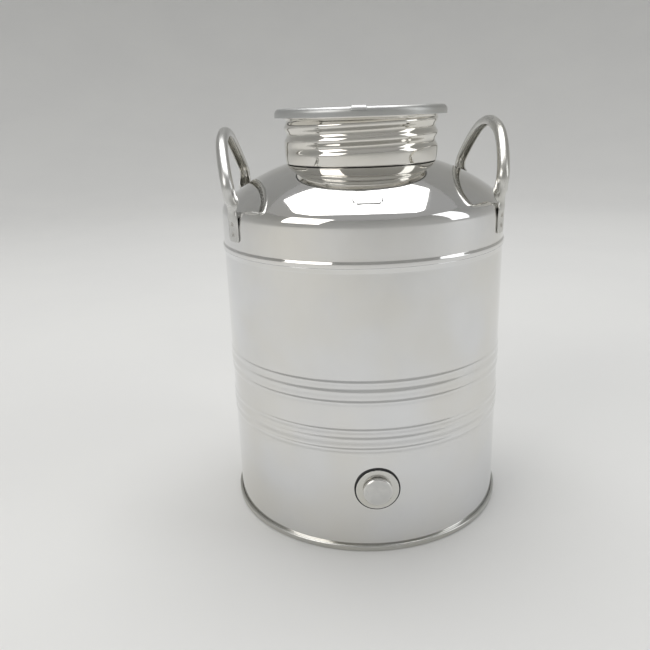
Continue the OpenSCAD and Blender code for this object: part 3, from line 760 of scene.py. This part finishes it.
# ---------------------------------------------------------------- lid
def skirt():
    n = 288
    a = np.degrees(np.arange(n) * TAU / n)
    zo = np.concatenate([LID_Z + np.array([0, 0.03, 0.1, 0.2, 0.35, 0.6]), np.arange(LID_Z + 1.0, RIM_Z - 0.4, 0.42)])
    edge = 0.3 * np.clip(1 - (zo - LID_Z) / 0.4, 0, 1) ** 2
    outer = LID_R - edge[None, :] - lid_groove(zo[None, :], a[:, None])
    top = fillet([(LID_R, RIM_Z - 0.9), (LID_R + 0.15, RIM_Z + 0.4), (LID_R + 4.8, RIM_Z + 0.4), (LID_R + 4.8, RIM_Z + 1.1),
                  (LID_R - T + 0.1, RIM_Z + 1.1), (LID_R - T, RIM_Z + 0.2)], [0, 1.2, 0.2, 0.2, 1.6, 0], 6, closed=False)
    top = np.array(top[1:])
    zi = np.concatenate([np.arange(RIM_Z - 0.6, LID_Z + 1.2, -0.85), LID_Z + np.array([0.6, 0.3, 0.1, 0])])
    ei = 0.2 * np.clip(1 - (zi - LID_Z) / 0.5, 0, 1)
    inner = LID_R - T + ei[None, :] - lid_groove(zi[None, :], a[:, None])
    rr = np.concatenate([outer, np.tile(top[:, 0], (n, 1)), inner], 1)
    zz = np.tile(np.concatenate([zo, top[:, 1], zi]), (n, 1))
    return lathe((np.stack([rr, zz], -1), n))


v, f = skirt()
add("lid_side", v, f, "lid", LIDSTEEL, ["lid_skirt"], 45)

z = NECK_Z + 30.3
prof = fillet([(0, z), (36, z), (37, z + 0.7), (41, z + 0.7), (42, z), (54.4, z), (55.6, z + 0.5), (55.95, z + 1.4),
               (55.95, RIM_Z + 1.15), (LID_R + 4.8, RIM_Z + 1.15), (LID_R + 4.8, RIM_Z + 1.85), (55.6, RIM_Z + 1.85),
               (55.15, RIM_Z + 1.4), (55.15, z + 1.8), (54.2, z + T), (42.2, z + T), (41.2, z + 0.7 + T),
               (36.8, z + 0.7 + T), (35.8, z + T), (0, z + T)],
              [0, 0.8, 0.8, 0.8, 0.8, 0.8, 0.5, 0.3, 0.2, 0.15, 0.15, 0.4, 0.2, 0.6, 0.8, 0.8, 0.8, 0.8, 0.8, 0], 5)
v, f = lathe((prof, 256))
add("lid_disc", v, f, "lid", LIDSTEEL, ["lid_plate"], 40)

o, top = RIM_R - RIM_ROUND, RIM_Z + 6.8
prof = ([(RIM_R - 0.9, RIM_Z + 0.08), (RIM_R - 0.8, RIM_Z), (RIM_R - 0.1, RIM_Z), (RIM_R, RIM_Z + 0.08), (RIM_R, RIM_Z + 1.4)]
        + arc(o, top - RIM_ROUND, RIM_ROUND, 0, 90, 20) + arc(LID_R + 1.6, top - 1.6, 1.6, 90, 180, 10)
        + [(LID_R, RIM_Z + 1.9), (LID_R + 0.8, RIM_Z + 1.9)]
        + arc(LID_R + 1.6, top - 1.6, 0.8, 180, 90, 8) + arc(o, top - RIM_ROUND, RIM_ROUND - 0.9, 90, 0, 12))
v, f = lathe((prof, 320))
add("rim_band", v, f, "lid", SATIN, ["lid_rim_ring"], 40)


def clip():
    turn = math.degrees(11 / RIM_R)
    low = 17
    outer = arc(o, top - RIM_ROUND, RIM_ROUND + 0.8, low, 90, 18)
    p = np.array(fillet(outer + [(LID_R + 1.9, top + 0.8), (LID_R + 1.6, top + 0.5), (LID_R + 1.6, top + 0.03)]
                        + arc(o, top - RIM_ROUND, RIM_ROUND + 0.03, 90, low, 14),
                        [0.2] + [0] * (len(outer) - 1) + [0.2, 0.2] + [0] * 16, 3))
    c = np.array([o, top - RIM_ROUND])
    na = 25
    u = np.linspace(-1, 1, na)
    u = np.sign(u) * np.abs(u) ** 0.6
    sec = []
    for x in u:
        drop = 0.35 * max(0.0, (abs(x) - 0.9) / 0.1) ** 2
        q = p - c
        ln = np.hypot(q[:, 0], q[:, 1])
        out_ = (ln > RIM_ROUND + 0.4) | (p[:, 1] > top + 0.2)
        q = np.where(out_[:, None], q * (1 - drop / ln)[:, None], q) + c
        ang = math.radians(-90 - 5.3 + x * turn / 2)
        sec.append(np.stack([q[:, 0] * math.cos(ang), q[:, 0] * math.sin(ang), q[:, 1]], -1))
    ring = np.array(sec)
    n, m = ring.shape[:2]
    return ring.reshape(-1, 3), grid_faces(n, m, False, True) + [list(range(m)), list(range((n - 1) * m, n * m))[::-1]]


v, f = clip()
add("rim_strap", v, f, "lid", SATIN, ["rim_clip"], 40)

z = NECK_Z + 28.2
prof = fillet([(50.6, z + 0.0), (55.0, z + 0.0), (55.0, z + 2), (50.6, z + 2)], [0.35, 0.35, 0.25, 0.25], 5)
v, f = lathe((prof, 192))
add("lid_washer", v, f, "lid_seal", SILICONE, ["lid_gasket"], 45)

# pieces inside the can keep their CAD shape with better materials
for name, mat in (("port_inner_gasket", RUBBER), ("port_lock_nut", INNER)):
    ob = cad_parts[name]
    wear_attribute(ob.data)
    for s in ob.material_slots:
        s.material = mat


# ---------------------------------------------------------------- plain floor and plain soft studio light
def stage_mesh(name, verts, faces, mat):
    me = bpy.data.meshes.new(name)
    me.from_pydata(verts, [], faces)
    me.materials.append(mat)
    me.shade_smooth()
    ob = bpy.data.objects.new(name, me)
    bpy.context.scene.collection.objects.link(ob)
    return ob


def paper(name, a, b):
    """Plain pale paper: a faint slow change of tone and a very fine tooth."""
    g = Mat(name)
    c = g.mix(g.math("MULTIPLY", g.ramp(g.noise(3.0, 3.0), 0.35, 0.65), 0.5), a, b)
    g.b.inputs["Specular IOR Level"].default_value = 0.15
    return g.finish(Base_Color=c, Roughness=g.ramp(g.noise(40, 3.0), 0.3, 0.7, 0.75, 0.9),
                    Normal=g.bump(g.noise(500, 3.0), 0.00002))


# plain floor that curves up far away into a plain wall, the same all round
line = [(r, 0.0) for r in (0.2, 0.6, 1.2, 1.8)]
line += [(1.8 + 2.4 * math.sin(math.radians(b)), 2.4 - 2.4 * math.cos(math.radians(b))) for b in range(3, 91, 3)] + [(4.2, 4.5)]
ring_a = np.arange(144) * TAU / 144
fv = [(0.0, 0.0, 0.0)] + [(r * math.cos(t), r * math.sin(t), z) for r, z in line for t in ring_a]
ff = [[0, 1 + j, 1 + (j + 1) % 144] for j in range(144)] + [q[::-1] for q in grid_faces(len(line), 144, False, True, 1)]
stage_mesh("floor", fv, ff, paper("floor_paper", (0.80, 0.80, 0.79), (0.77, 0.77, 0.765)))

# even light from above the wall
world = bpy.data.worlds.new("studio")
bpy.context.scene.world = world
world.use_nodes = True
world.node_tree.nodes["Background"].inputs[0].default_value = (0.40, 0.40, 0.395, 1)
world.node_tree.nodes["Background"].inputs[1].default_value = 1.0


def softbox(name, at, w, h, watts, colour):
    li = bpy.data.lights.new(name, "AREA")
    li.shape, li.size, li.size_y, li.energy, li.color = "RECTANGLE", w, h, watts, colour
    ob = bpy.data.objects.new(name, li)
    ob.location = at
    ob.rotation_euler = (Vector((0, 0, 0.15)) - ob.location).to_track_quat("-Z", "Y").to_euler()
    bpy.context.scene.collection.objects.link(ob)


softbox("soft_key", (-1.5, -1.1, 1.5), 1.3, 1.3, 11.0, (1.0, 0.98, 0.95))
softbox("soft_side", (1.9, -0.5, 1.1), 0.7, 1.6, 5.0, (0.96, 0.98, 1.0))
softbox("soft_top", (0.0, 0.6, 2.6), 2.4, 1.6, 36.0, (1.0, 1.0, 1.0))

bpy.context.scene.view_settings.view_transform = "Standard"
